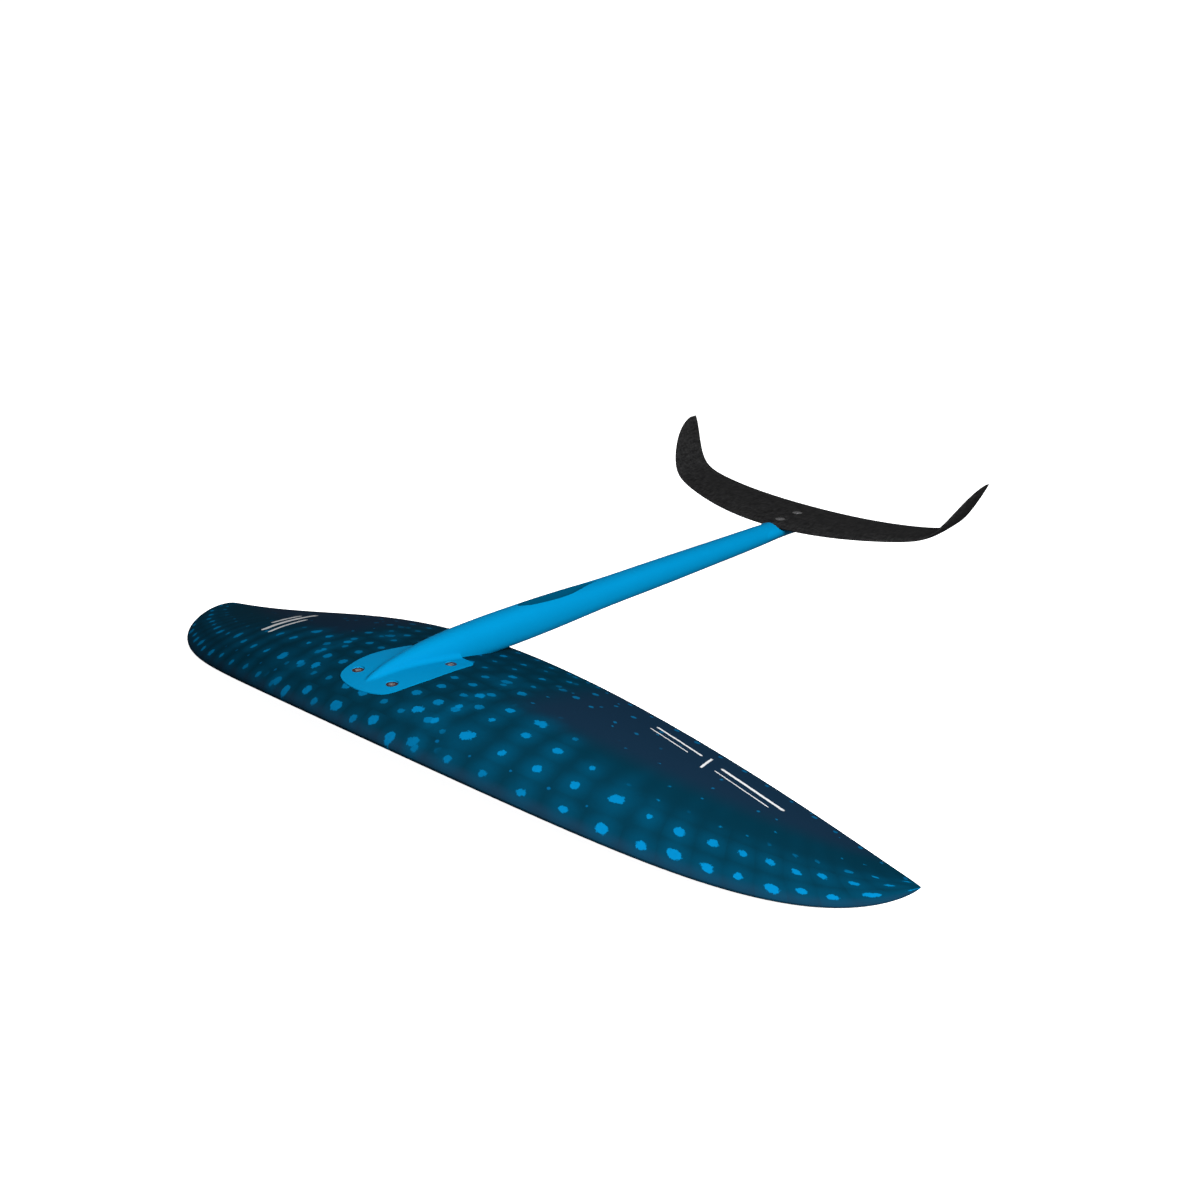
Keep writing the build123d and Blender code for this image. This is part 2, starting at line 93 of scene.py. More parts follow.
def make_panel(name, direction, distance, side, watts):
    data = bpy.data.lights.new(name, "AREA")
    data.shape = "SQUARE"
    data.size = side
    data.energy = watts
    panel = bpy.data.objects.new(name, data)
    bpy.context.scene.collection.objects.link(panel)
    toward = Vector(direction).normalized()
    panel.location = LIGHT_TARGET + toward * distance
    panel.rotation_mode = "QUATERNION"
    panel.rotation_quaternion = toward.to_track_quat("Z", "Y")


def stage_piece(name, points, faces, glow):
    """A piece of the studio, which the camera sees and which throws no light on the object."""
    material, _, shader = new_material("pale_" + name, specular=0.0)
    shader.inputs["Base Color"].default_value = STAGE_GREY
    shader.inputs["Roughness"].default_value = STAGE_ROUGHNESS
    shader.inputs["Emission Color"].default_value = WHITE
    shader.inputs["Emission Strength"].default_value = glow
    mesh = bpy.data.meshes.new(name)
    mesh.from_pydata(points, [], faces)
    mesh.materials.append(material)
    piece = bpy.data.objects.new(name, mesh)
    bpy.context.scene.collection.objects.link(piece)
    piece.visible_diffuse = False
    piece.visible_glossy = False
    return piece


def make_floor():
    height = cad_box[0].z - FLOOR_DROP
    side = FLOOR_HALF_SIDE
    corners = ((-side, -side), (side, -side), (side, side), (-side, side))
    points = [(x, y, height) for x, y in corners]
    floor = stage_piece("floor", points, [(0, 1, 2, 3)], FLOOR_GLOW)


def make_backdrop():
    """A round wall far outside the floor."""
    low = cad_box[0].z - BACKDROP_DROP
    turns = [2.0 * math.pi * i / BACKDROP_SIDES for i in range(BACKDROP_SIDES)]
    ring = [(BACKDROP_RADIUS * math.cos(t), BACKDROP_RADIUS * math.sin(t)) for t in turns]
    points = [(x, y, low) for x, y in ring] + [(x, y, BACKDROP_HEIGHT) for x, y in ring]
    faces = []
    for i in range(BACKDROP_SIDES):
        after = (i + 1) % BACKDROP_SIDES
        faces.append((i, after, BACKDROP_SIDES + after, BACKDROP_SIDES + i))
    backdrop = stage_piece("backdrop", points, faces, BACKDROP_GLOW)
    backdrop.visible_shadow = False


# ---- numbers and colours as nodes ----------------------------------------------------------------


class Term:
    """A number in a node tree, which adds, multiplies and compares like any other number."""

    def __init__(self, tree, value):
        self.tree = tree
        self.value = value

    def math(self, operation, *others, clamp=False):
        node = self.tree.nodes.new("ShaderNodeMath")
        node.operation = operation
        node.use_clamp = clamp
        for socket, item in zip(node.inputs, (self, *others)):
            plug(self.tree, socket, item)
        return Term(self.tree, node.outputs[0])

    def __add__(self, other):
        return self.math("ADD", other)

    def __sub__(self, other):
        return self.math("SUBTRACT", other)

    def __mul__(self, other):
        return self.math("MULTIPLY", other)

    def __truediv__(self, other):
        return self.math("DIVIDE", other)

    def __pow__(self, other):
        return self.math("POWER", other)

    def __radd__(self, other):
        return self.math("ADD", other)

    def __rmul__(self, other):
        return self.math("MULTIPLY", other)

    def __rsub__(self, other):
        return (self * -1.0) + other

    def __rtruediv__(self, other):
        return Term(self.tree, other).math("DIVIDE", self)

    def abs(self):
        return self.math("ABSOLUTE")

    def sqrt(self):
        return self.math("SQRT")

    def round(self):
        return self.math("ROUND")

    def least(self, other):
        return self.math("MINIMUM", other)

    def most(self, other):
        return self.math("MAXIMUM", other)

    def clamped(self):
        return self.math("ADD", 0.0, clamp=True)

    def ramp(self, start, end):
        """0 at start, 1 at end, smooth between them and level past them."""
        node = self.tree.nodes.new("ShaderNodeMapRange")
        node.interpolation_type = "SMOOTHSTEP"
        plug(self.tree, node.inputs["Value"], self)
        plug(self.tree, node.inputs["From Min"], start)
        plug(self.tree, node.inputs["From Max"], end)
        return Term(self.tree, node.outputs[0])


def plug(tree, socket, item):
    if isinstance(item, Term):
        item = item.value
    if isinstance(item, bpy.types.NodeSocket):
        tree.links.new(item, socket)
    else:
        socket.default_value = item


def vector_of(tree, x, y, z=0.0):
    node = tree.nodes.new("ShaderNodeCombineXYZ")
    for socket, item in zip(node.inputs, (x, y, z)):
        plug(tree, socket, item)
    return node.outputs[0]


def place_in_mm(tree):
    """The point's place in the row frame: x forward, y to port, z up, in millimetres."""
    coordinates = tree.nodes.new("ShaderNodeTexCoord")
    split = tree.nodes.new("ShaderNodeSeparateXYZ")
    tree.links.new(coordinates.outputs["Object"], split.inputs[0])
    return [Term(tree, socket) * (1.0 / MM) for socket in split.outputs]


def noise(tree, at, size, detail=2.0, roughness=0.5):
    """Smooth noise around 0.5 with blobs of about size, in the unit of at."""
    node = tree.nodes.new("ShaderNodeTexNoise")
    node.inputs["Scale"].default_value = 1.0 / size
    node.inputs["Detail"].default_value = detail
    node.inputs["Roughness"].default_value = roughness
    tree.links.new(at, node.inputs["Vector"])
    return Term(tree, node.outputs["Fac"])


def dice(tree, column, row, throw):
    """A fixed random number from 0 to 1 for one cell of a lattice."""
    node = tree.nodes.new("ShaderNodeTexWhiteNoise")
    node.noise_dimensions = "3D"
    tree.links.new(vector_of(tree, column, row, throw), node.inputs["Vector"])
    return Term(tree, node.outputs["Value"])


def mixed(tree, amount, under, over):
    """The colour over laid on the colour under by amount."""
    node = tree.nodes.new("ShaderNodeMix")
    node.data_type = "RGBA"
    plug(tree, node.inputs["Factor"], amount)
    plug(tree, node.inputs["A"], under)
    plug(tree, node.inputs["B"], over)
    return node.outputs["Result"]


def bump(tree, height, depth_mm):
    node = tree.nodes.new("ShaderNodeBump")
    node.inputs["Strength"].default_value = 1.0
    node.inputs["Distance"].default_value = depth_mm * MM
    plug(tree, node.inputs["Height"], height)
    return node.outputs["Normal"]


def new_material(name, metallic=0.0, specular=0.5):
    """A Principled material and its tree, with the values that are the same all over it."""
    material = bpy.data.materials.new(name)
    material.use_nodes = True
    shader = material.node_tree.nodes["Principled BSDF"]
    shader.inputs["Metallic"].default_value = metallic
    shader.inputs["Specular IOR Level"].default_value = specular
    return material, material.node_tree, shader


def dress(tree, shader, colour, roughness, height=None, depth_mm=0.0):
    """Gives the shader its colour and roughness, and a fine relief where there is a height."""
    tree.links.new(colour, shader.inputs["Base Color"])
    plug(tree, shader.inputs["Roughness"], roughness)
    if height is not None:
        tree.links.new(bump(tree, height, depth_mm), shader.inputs["Normal"])


# ---- wing: spotted lacquer -----------------------------------------------------------------------

# Lengths are in millimetres. A pair is a stretch over which something comes in or goes out.

# the wing's edges, as in the part: x at a share of the half span
WING_HALF_SPAN = 485.0
TIP_X = 70.0
LE_ROOT = 307.0
LE_SWEEP = 200.0
LE_RETURN = 79.0
LE_ROUNDING = 7.5
TE_ROOT = 71.0
TE_SWEEP = 69.0
TE_RETURN = 56.0
TE_ROUNDING = 5.0

WING_SPECULAR = 0.0005
WING_ROUGHNESS = 0.34
WEAVE_DEPTH = 0.02
NAVY = (0.0052, 0.0165, 0.0350, 1.0)
TEAL = (0.0008, 0.0190, 0.0350, 1.0)
GLOW = (0.0004, 0.0420, 0.0860, 1.0)
SPOT = (0.0006, 0.1250, 0.2850, 1.0)
DIM_SPOT = (0.0010, 0.0620, 0.1500, 1.0)
# the painted sheen along the leading edge
LEADING_EDGE_SHEEN_GREY = (0.0075, 0.0260, 0.0520, 1.0)
MARK_WHITE = (0.52, 0.53, 0.54, 1.0)

# ragged edges of the spots, and how their sizes differ
RAG_SIZE = 4.2
RAG_DEPTH = 7.5
SPOT_EDGE = (-0.5, 0.7)
SMALL_SPOT_EDGE = (-0.5, 0.8)
DOT_EDGE = (-0.4, 0.6)
LEAST_SHARE = 0.72
SHARE_SPREAD = 0.56

# main lattice: its rows follow the leading edge, and its columns cross them and lean inboard
# towards the rear
FIRST_COLUMN = 97.0
COLUMN_PITCH = 37.0
FIRST_ROW = 8.0
ROW_PITCH = 28.0
ROW_SHRINK = 0.34  # of the pitch, at the tip
LEAN = 0.66
LEAN_REACH = 416.0
CROWD_FROM = 250.0  # outboard of this the columns draw together
CROWD_REACH = 100.0
CROWD_COLUMNS = 0.55
CROWD_SHRINK = 0.0041
MAIN_OUTBOARD = (80.0, 97.0)
FRONT_ROW_EDGE = (0.40, 0.60)  # in rows
FRONT_ROW_STRETCH = 0.35
AFT_REACH = 92.0  # how far behind the leading edge the large spots go
AFT_REACH_LOSS = 56.0
AFT_REACH_NARROWS = (160.0, 300.0)
AFT_FADE = 34.0
ON_TOP = (0.5, 2.5)
MAIN_SIZE = 1.6
MAIN_SIZE_FORWARD = 2.4
MAIN_SIZE_FRONT_ROW = 0.9
TIP_SIZE_LOSS = 0.25
TIP_SIZE_NARROWS = (330.0, 480.0)
INNER_SIZE_SHARE = 0.30
MAIN_JITTER = 5.0
MAIN_THROW = 3.0
MAIN_HALO = (-17.0, 1.0)
LARGE_HALO = (-22.0, 1.0)
LARGE_RAG = 1.3
LOST_DICE = (0.35, 0.40)
AFT_BRIGHTNESS = 0.55
FRONT_ROW_SHADE = 0.40
FRONT_ROW_CLEARS = (150.0, 290.0)
# the largest spots: distance from the middle, distance behind the leading edge, radius
LARGE_SPOTS = (
    (131.0, 35.0, 5.8),
    (159.0, 93.0, 5.4),
    (269.0, 39.0, 5.8),
    (83.0, 139.0, 5.0),
    (73.0, 40.0, 5.0),
)

# the middle of the wing has a tighter lattice, with every other row moved by half a column
MIDDLE_PITCH = (25.0, 24.0)
MIDDLE_EDGE = (104.0, 128.0)
MIDDLE_SIZE = 3.9
MIDDLE_SIZE_LOSS = 0.9
MIDDLE_NARROWS = (70.0, 200.0)
MIDDLE_RAG = 0.7
MIDDLE_JITTER = 8.0
MIDDLE_THROW = 11.0
MIDDLE_HALO = (-12.0, 1.0)
MIDDLE_HALO_SHARE = 0.5
MIDDLE_BRIGHTNESS = 0.45
MIDDLE_BRIGHTNESS_SPREAD = 0.35

# rows of small spots reach outboard from the middle, nearer the rear
REAR_PITCH = (26.0, 30.0)
REAR_ROW_X = 91.0
REAR_BAND = ((76.0, 84.0), (134.0, 150.0))
REAR_REACH = ((95.0, 120.0), (190.0, 262.0))
REAR_SIZE = 3.1
REAR_SIZE_LOSS = 1.3
REAR_NARROWS = (110.0, 260.0)
REAR_RAG = 0.5
REAR_JITTER = 7.0
REAR_THROW = 23.0
REAR_BRIGHTNESS = 0.55

# dots between the first two rows, half way between the columns
DOT_PITCH = (37.0, 28.0)
DOT_ROW = 19.0
DOT_BAND = ((8.0, 11.0), (27.0, 31.0))
DOT_END = (275.0, 285.0)
DOT_SIZE = 1.5
DOT_RAG = 0.25
DOT_JITTER = 4.0
DOT_THROW = 31.0

# one row of dim spots along the trailing edge
EDGE_PITCH = (26.0, 40.0)
EDGE_ROW = 6.5
EDGE_BAND = (14.0, 18.0)
EDGE_START = (70.0, 82.0)
EDGE_SIZE = 2.3
EDGE_RAG = 0.3
EDGE_JITTER = 3.0
EDGE_THROW = 43.0

# soft streaks run aft through the columns, in patches
STREAK_EDGE = (0.0, 0.50)  # in columns
STREAK_DEPTH = 0.75
STREAK_BAND = ((4.0, 22.0), (70.0, 118.0))
STREAK_THINS = (260.0, 400.0)
STREAK_LOSS = 0.7
STREAK_LEAST = 0.06
STREAK_PATCHES = 0.36
PATCH_SIZE = 60.0
PATCH_EDGE = (0.30, 0.70)
MAIN_HALO_GLOW = 0.50
MIDDLE_HALO_GLOW = 0.7

# ground colour: teal in the middle and forward, navy further out and aft, and a painted grey sheen
# along the front edge
NAVY_START = (95.0, 150.0)
NAVY_AFT = (80.0, 125.0)
NAVY_END = (415.0, 465.0)
NAVY_SHARE = 0.9
# painted sheen along the leading edge: how far behind the edge it reaches, and how strongly it is
# laid on
SHEEN_BAND = (0.0, 9.0)
SHEEN_BAND_SHARE = 0.65


def edge_line(share, root, sweep, back, rounding):
    """x of an edge of the wing, which closes round the tip."""
    open_line = (share**4.0) * back - share * share * sweep + (root - TIP_X)
    return open_line * (1.0 - share**rounding).most(0.0).sqrt() + TIP_X


def between(item, rise, fall):
    """1 past the rise and ahead of the fall, and 0 outside them."""
    return item.ramp(*rise) * (1.0 - item.ramp(*fall))


class WingPlace:
    """Where a point is on the wing, in the terms that the graphic is laid out in."""

    def __init__(self, tree):
        self.x, self.y, z = place_in_mm(tree)
        self.at = vector_of(tree, self.x, self.y, z)
        self.side = self.y.abs()
        share = (self.side / WING_HALF_SPAN).least(1.0)
        self.from_front = edge_line(share, LE_ROOT, LE_SWEEP, LE_RETURN, LE_ROUNDING) - self.x
        self.from_rear = self.x - edge_line(share, TE_ROOT, TE_SWEEP, TE_RETURN, TE_ROUNDING)
        rag = noise(tree, self.at, RAG_SIZE, detail=4.0, roughness=0.75)
        self.ragged = (rag - 0.5) * RAG_DEPTH

        # start is where the line through the point along its column meets the leading edge
        lean = (self.side / LEAN_REACH) ** 2.0 * LEAN
        self.start = self.side + lean * self.from_front
        crowded = (self.start - CROWD_FROM).most(0.0)
        crowd = (crowded / CROWD_REACH) ** 2.0
        self.column = (self.start - FIRST_COLUMN) / COLUMN_PITCH + crowd * CROWD_COLUMNS
        self.column_pitch = COLUMN_PITCH / (1.0 + crowded * CROWD_SHRINK)
        self.row_pitch = (1.0 - (share**4.0) * ROW_SHRINK) * ROW_PITCH
        self.row = (self.from_front - FIRST_ROW) / self.row_pitch

        self.outboard = self.start.ramp(*MAIN_OUTBOARD)
        self.front_row = 1.0 - self.row.abs().ramp(*FRONT_ROW_EDGE)
        reach = AFT_REACH - self.start.ramp(*AFT_REACH_NARROWS) * AFT_REACH_LOSS
        self.forward = 1.0 - self.from_front.ramp(reach, reach + AFT_FADE)


def cell_die(tree, column, row, throw):
    """The random number that sets the size of the spot in the nearest cell."""
    return dice(tree, column.round(), row.round(), throw + 2.0)


def spots(tree, column, row, pitch, size, wobble, jitter, throw):
    """Ragged spots, one to a cell: how far inside a spot's edge a point is."""
    nearest_column = column.round()
    nearest_row = row.round()
    shift_across = (dice(tree, nearest_column, nearest_row, throw) - 0.5) * jitter
    shift_along = (dice(tree, nearest_column, nearest_row, throw + 1.0) - 0.5) * jitter
    across = (column - nearest_column) * pitch[0] + shift_across
    along = (row - nearest_row) * pitch[1] + shift_along
    distance = (across * across + along * along).sqrt()
    share = LEAST_SHARE + cell_die(tree, column, row, throw) * SHARE_SPREAD
    return size * share + wobble - distance


def main_spots(tree, place):
    """How far a point is in a spot of the main lattice, and in the halo round one."""
    size = MAIN_SIZE + place.forward * MAIN_SIZE_FORWARD + place.front_row * MAIN_SIZE_FRONT_ROW
    size = size * (1.0 - place.start.ramp(*TIP_SIZE_NARROWS) * TIP_SIZE_LOSS)
    size = size * (INNER_SIZE_SHARE + place.outboard * (1.0 - INNER_SIZE_SHARE))
    pitch = (place.column_pitch, place.row_pitch * (1.0 + place.front_row * FRONT_ROW_STRETCH))
    inside = spots(
        tree, place.column, place.row, pitch, size, place.ragged, MAIN_JITTER, MAIN_THROW
    )
    die = cell_die(tree, place.column, place.row, MAIN_THROW)
    lost = (1.0 - place.forward) * die.ramp(*LOST_DICE)
    on_top = place.from_front.ramp(*ON_TOP)
    spot = inside.ramp(*SPOT_EDGE) * place.outboard * on_top * (1.0 - lost)
    halo = inside.ramp(*MAIN_HALO) * place.outboard * place.forward
    for aside, behind, radius in LARGE_SPOTS:
        gap = ((place.side - aside) ** 2.0 + (place.from_front - behind) ** 2.0).sqrt()
        large = radius + place.ragged * LARGE_RAG - gap
        spot = spot.most(large.ramp(*SPOT_EDGE))
        halo = halo.most(large.ramp(*LARGE_HALO))
    return spot, halo


def main_brightness(place):
    """Spots are dimmer far aft, and in the front row near the middle."""
    clears = 1.0 - place.start.ramp(*FRONT_ROW_CLEARS)
    shade = 1.0 - place.front_row * clears * FRONT_ROW_SHADE
    return (AFT_BRIGHTNESS + place.forward * (1.0 - AFT_BRIGHTNESS)) * shade


def middle_spots(tree, place):
    """How bright a point is in the middle's lattice, and how far it is in a halo there."""
    middle = 1.0 - place.side.ramp(*MIDDLE_EDGE)
    row = (place.from_front - FIRST_ROW) / MIDDLE_PITCH[1]
    stagger = (row.round() * 0.5).math("FRACT")
    column = place.side / MIDDLE_PITCH[0] + stagger
    size = MIDDLE_SIZE - place.from_front.ramp(*MIDDLE_NARROWS) * MIDDLE_SIZE_LOSS
    wobble = place.ragged * MIDDLE_RAG
    inside = spots(tree, column, row, MIDDLE_PITCH, size, wobble, MIDDLE_JITTER, MIDDLE_THROW)
    die = cell_die(tree, column, row, MIDDLE_THROW)
    brightness = MIDDLE_BRIGHTNESS + die * MIDDLE_BRIGHTNESS_SPREAD
    spot = inside.ramp(*SMALL_SPOT_EDGE) * middle * brightness
    halo = inside.ramp(*MIDDLE_HALO) * middle * MIDDLE_HALO_SHARE
    return spot, halo


def rear_spots(tree, place):
    column = place.side / REAR_PITCH[0]
    row = (place.x - REAR_ROW_X) / REAR_PITCH[1]
    size = REAR_SIZE - place.side.ramp(*REAR_NARROWS) * REAR_SIZE_LOSS
    wobble = place.ragged * REAR_RAG
    inside = spots(tree, column, row, REAR_PITCH, size, wobble, REAR_JITTER, REAR_THROW)
    where = between(place.side, *REAR_REACH) * between(place.x, *REAR_BAND)
    return inside.ramp(*SMALL_SPOT_EDGE) * where * REAR_BRIGHTNESS


def gap_dots(tree, place):
    column = place.column + 0.5
    row = (place.from_front - DOT_ROW) / DOT_PITCH[1]
    wobble = place.ragged * DOT_RAG
    inside = spots(tree, column, row, DOT_PITCH, DOT_SIZE, wobble, DOT_JITTER, DOT_THROW)
    where = between(place.from_front, *DOT_BAND) * (1.0 - place.start.ramp(*DOT_END))
    return inside.ramp(*DOT_EDGE) * where * place.outboard


def edge_spots(tree, place):
    column = place.side / EDGE_PITCH[0]
    row = (place.from_rear - EDGE_ROW) / EDGE_PITCH[1]
    wobble = place.ragged * EDGE_RAG
    inside = spots(tree, column, row, EDGE_PITCH, EDGE_SIZE, wobble, EDGE_JITTER, EDGE_THROW)
    where = (1.0 - place.from_rear.ramp(*EDGE_BAND)) * place.side.ramp(*EDGE_START)
    return inside.ramp(*DOT_EDGE) * where


def streaks(tree, place):
    across = (place.column - place.column.round()).abs()
    streak = 1.0 - across.ramp(*STREAK_EDGE) * STREAK_DEPTH
    streak = streak * between(place.from_front, *STREAK_BAND) * place.outboard
    streak = streak * (1.0 - place.start.ramp(*STREAK_THINS) * STREAK_LOSS)
    patch = noise(tree, place.at, PATCH_SIZE, detail=1.0).ramp(*PATCH_EDGE)
    return streak * (STREAK_LEAST + patch * STREAK_PATCHES)


def ground_and_sheen_colour(tree, place):
    navy = between(place.side, NAVY_START, NAVY_END) * place.from_front.ramp(*NAVY_AFT)
    ground = mixed(tree, navy * NAVY_SHARE, TEAL, NAVY)
    # paints a grey sheen along the leading edge
    front = (1.0 - place.from_front.ramp(*SHEEN_BAND)) * SHEEN_BAND_SHARE
    return mixed(tree, front, ground, LEADING_EDGE_SHEEN_GREY)


def wing_material():
    """Dark lacquer with rows of light spots in soft halos, plain printed stripes, and a painted
    sheen along the leading edge.
    """
    material, tree, shader = new_material("spotted_lacquer", specular=WING_SPECULAR)
    place = WingPlace(tree)
    main_spot, main_halo = main_spots(tree, place)
    middle_spot, middle_halo = middle_spots(tree, place)
    halos = main_halo * MAIN_HALO_GLOW + middle_halo * MIDDLE_HALO_GLOW
    glow = (streaks(tree, place) + halos).clamped()
    colour = mixed(tree, glow, ground_and_sheen_colour(tree, place), GLOW)

    bright = main_spot * main_brightness(place)
    bright = bright.most(middle_spot).most(rear_spots(tree, place))
    mottle = 0.80 + noise(tree, place.at, 2.6, detail=2.0) * 0.40
    colour = mixed(tree, (bright * mottle).clamped(), colour, SPOT)
    faint = gap_dots(tree, place).most(edge_spots(tree, place) * (1.0 - bright))
    colour = mixed(tree, faint, colour, DIM_SPOT)
    colour = mixed(tree, printed_marks(place.x, place.y), colour, MARK_WHITE)

    grain = noise(tree, place.at, 1.1, detail=1.0)
    roughness = WING_ROUGHNESS + grain * 0.10 + bright * 0.03
    weave = grain * 0.6 + noise(tree, place.at, 14.0, detail=1.0) * 0.4
    dress(tree, shader, colour, roughness, weave, WEAVE_DEPTH)
    return material


# plain printed stripes: x and y of one end, x and y of the other, half width
STRIPES = (
    (84.0, 202.0, 84.0, 254.0, 1.3),
    (94.0, 202.0, 94.0, 246.0, 0.7),
    (78.0, 262.0, 104.0, 271.0, 1.0),
    (84.0, 280.0, 84.0, 348.0, 1.8),
    (95.0, 280.0, 95.0, 340.0, 0.7),
    (118.0, -262.0, 196.0, -244.0, 4.0),
    (128.0, -276.0, 168.0, -267.0, 3.0),
    (150.0, -236.0, 204.0, -224.0, 2.6),
)
STRIPE_EDGE = (-0.25, 0.35)


def printed_marks(x, y):
    """How far a point is inside any of the stripes, from 0 to 1."""
    marks = None
    for x1, y1, x2, y2, half_width in STRIPES:
        length = Vector((x2 - x1, y2 - y1)).length
        ahead = ((x2 - x1) / length, (y2 - y1) / length)
        along = (x - x1) * ahead[0] + (y - y1) * ahead[1]
        off = along - along.most(0.0).least(length)
        beside = (x - x1) * ahead[1] - (y - y1) * ahead[0]
        gap = (off * off + beside * beside).sqrt()
        stripe = 1.0 - (gap - half_width).ramp(*STRIPE_EDGE)
        marks = stripe if marks is None else marks.most(stripe)
    return marks.clamped()


# ---- the other materials -------------------------------------------------------------------------

FUSELAGE_SPECULAR = 0.012
FUSELAGE_BLUES = ((0.0001, 0.160, 0.342, 1.0), (0.0002, 0.174, 0.366, 1.0))
# painted shade on the walls of the mast socket: its dark blue, and how much of it is laid on
SOCKET_SHADE_BLUE = (0.0002, 0.030, 0.060, 1.0)
SOCKET_SHADE = 0.80
SOCKET_ENDS = ((-47.5, -46.5), (67.0, 68.0))
# half width of the mast socket from its tail to its nose: each stretch of x and what it adds
SOCKET_WIDENING = (
    (-46.5, -30.0, 2.9),
    (-30.0, -8.0, 4.5),
    (-8.0, 18.0, 1.3),
    (18.0, 46.0, -1.6),
    (46.0, 60.0, -2.9),
)
SOCKET_REACH = (0.9, 1.1)  # past that half width
STEEP = (0.25, 0.45)  # upward share of the normal

CARBON_SPECULAR = 0.004
CARBON_GREYS = ((0.0065, 0.0065, 0.0068, 1.0), (0.0240, 0.0240, 0.0245, 1.0))
FIBRE_SIZE = 2.4
FIBRE_SQUEEZE = 0.22  # of the length of a fibre, which makes it long

# the wing screws: x, and y on either side of the middle
SCREW_PLACES = ((251.0, 24.0), (180.0, 25.5))
SCREW_COLOURS = ((0.085, 0.026, 0.018, 1.0), (0.300, 0.280, 0.280, 1.0))
SCREW_WORN = (3.2, 4.6)  # distance from the screw's axis
SCREW_SCUFFS = (0.60, 0.72)

STEEL_GREYS = ((0.40, 0.40, 0.41, 1.0), (0.62, 0.62, 0.63, 1.0))
FOAM_YELLOWS = ((0.60, 0.54, 0.38, 1.0), (0.80, 0.74, 0.55, 1.0))
CORE_GREYS = ((0.030, 0.030, 0.030, 1.0), (0.075, 0.073, 0.070, 1.0))
SHIM_BROWNS = ((0.090, 0.022, 0.014, 1.0), (0.150, 0.042, 0.028, 1.0))


def socket_shade_mask(tree, x, y):
    """How far a point is on the steep walls of the mast socket, from 0 to 1, where shade is painted
    into the socket.
    """
    split = tree.nodes.new("ShaderNodeSeparateXYZ")
    facing = tree.nodes.new("ShaderNodeTexCoord")
    tree.links.new(facing.outputs["Normal"], split.inputs["Vector"])
    steep = 1.0 - Term(tree, split.outputs["Z"]).abs().ramp(*STEEP)
    half_width = sum(x.ramp(start, end) * growth for start, end, growth in SOCKET_WIDENING)
    near = 1.0 - (y.abs() - half_width).ramp(*SOCKET_REACH)
    return steep * near * between(x, *SOCKET_ENDS)


def fuselage_material():
    """Bright blue satin lacquer, with painted shade on the walls of the mast socket."""
    material, tree, shader = new_material("blue_satin", specular=FUSELAGE_SPECULAR)
    x, y, z = place_in_mm(tree)
    at = vector_of(tree, x, y, z)
    cloud = noise(tree, at, 35.0, detail=2.0)
    peel = noise(tree, at, 1.6, detail=2.0)
    colour = mixed(tree, cloud, *FUSELAGE_BLUES)
    # paints shade onto the steep walls of the mast socket
    colour = mixed(tree, socket_shade_mask(tree, x, y) * SOCKET_SHADE, colour, SOCKET_SHADE_BLUE)
    dress(tree, shader, colour, 0.36 + peel * 0.10, peel, depth_mm=0.015)
    return material


def carbon_material():
    """Satin carbon with short fibres lying every way."""
    material, tree, shader = new_material("satin_carbon", specular=CARBON_SPECULAR)
    x, y, z = place_in_mm(tree)
    along = vector_of(tree, x * FIBRE_SQUEEZE + y * 0.10, y - x * 0.15, z)
    over = vector_of(tree, x + y * 0.20, y * FIBRE_SQUEEZE - x * 0.12, z)
    fibres = noise(tree, along, FIBRE_SIZE, detail=3.0, roughness=0.7)
    crossed = noise(tree, over, FIBRE_SIZE, detail=3.0, roughness=0.7)
    fleck = (fibres * crossed * 4.0 - 0.55).clamped()
    colour = mixed(tree, fleck, *CARBON_GREYS)
    dress(tree, shader, colour, 0.42 + fleck * 0.18, fleck, depth_mm=0.03)
    return material


def screw_material():
    """Red-brown coating, worn grey in the drive and where the driver touches the head."""
    material, tree, shader = new_material("bronzed_screw", metallic=0.75)
    x, y, z = place_in_mm(tree)
    at = vector_of(tree, x, y, z)
    gap = None
    for ahead, aside in SCREW_PLACES:
        reach = ((x - ahead) ** 2.0 + (y.abs() - aside) ** 2.0).sqrt()
        gap = reach if gap is None else gap.least(reach)
    scuffs = noise(tree, at, 1.2, detail=3.0, roughness=0.6)
    drive = 1.0 - (gap + scuffs * 2.0).ramp(*SCREW_WORN)
    worn = drive.most(scuffs.ramp(*SCREW_SCUFFS) * 0.6)
    dress(tree, shader, mixed(tree, worn, *SCREW_COLOURS), 0.34 + worn * 0.16)
    return material


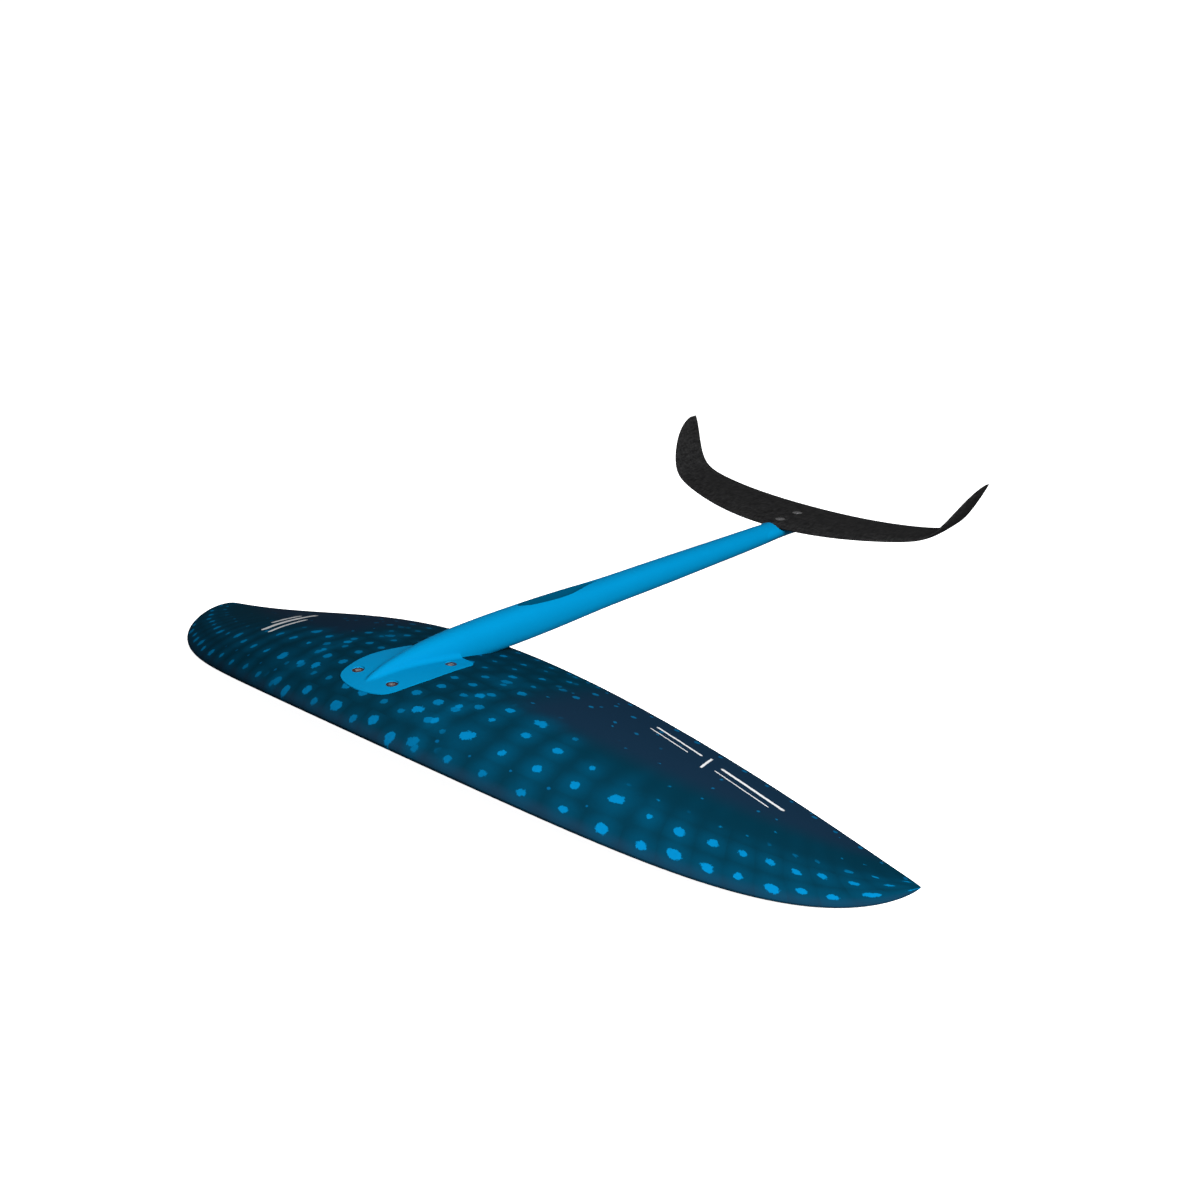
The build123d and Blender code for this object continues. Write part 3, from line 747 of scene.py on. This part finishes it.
def grained(kind, colours, size, detail, rag, roughness, spread, flattening=1.0, depth_mm=None):
    """Dresses what new_material returned with one noise, which moves colour and roughness.

    A flattening over 1 makes the grain thinner along z, and a depth gives it a relief.
    """
    material, tree, shader = kind
    x, y, z = place_in_mm(tree)
    grain = noise(tree, vector_of(tree, x, y, z * flattening), size, detail, rag)
    colour = mixed(tree, grain, *colours)
    height = None if depth_mm is None else grain
    dress(tree, shader, colour, roughness + grain * spread, height, depth_mm)
    return material


def steel_material():
    kind = new_material("machined_steel", metallic=1.0)
    return grained(kind, STEEL_GREYS, 1.6, 3.0, 0.7, roughness=0.26, spread=0.18, flattening=12.0)


def foam_material():
    kind = new_material("closed_cell_foam", specular=0.15)
    return grained(kind, FOAM_YELLOWS, 0.9, 2.0, 0.5, roughness=0.78, spread=0.15, depth_mm=0.1)


def core_material():
    kind = new_material("dense_core", specular=0.2)
    return grained(kind, CORE_GREYS, 1.4, 3.0, 0.7, roughness=0.66, spread=0.2, depth_mm=0.05)


def shim_material():
    kind = new_material("red_brown_shim", specular=0.2)
    return grained(kind, SHIM_BROWNS, 1.8, 2.0, 0.5, roughness=0.60, spread=0.15)


# ---- making the scene ----------------------------------------------------------------------------

NODES_OF_MATERIAL = (
    (wing_material, ("wing_upper_skin", "wing_lower_skin")),
    (fuselage_material, ("fuselage",)),
    (carbon_material, ("stabiliser_upper_skin", "stabiliser_lower_skin")),
    (screw_material, ("wing_screws_front", "wing_screws_rear")),
    (
        steel_material,
        (
            "stabiliser_screws",
            "wing_inserts_front",
            "wing_inserts_rear",
            "mast_bolt_bushes",
            "stabiliser_inserts",
        ),
    ),
    (foam_material, ("wing_core_port", "wing_core_starboard", "fuselage_boom_core")),
    (core_material, ("wing_centre_block", "stabiliser_core")),
    (shim_material, ("stabiliser_shim",)),
)


def paint_nodes():
    for make, names in NODES_OF_MATERIAL:
        material = make()
        for name in names:
            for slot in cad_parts[name].material_slots:
                slot.material = material


make_camera()
make_world()
for panel in PANELS:
    make_panel(*panel)
make_floor()
make_backdrop()
paint_nodes()
bpy.context.scene.view_settings.view_transform = "Standard"
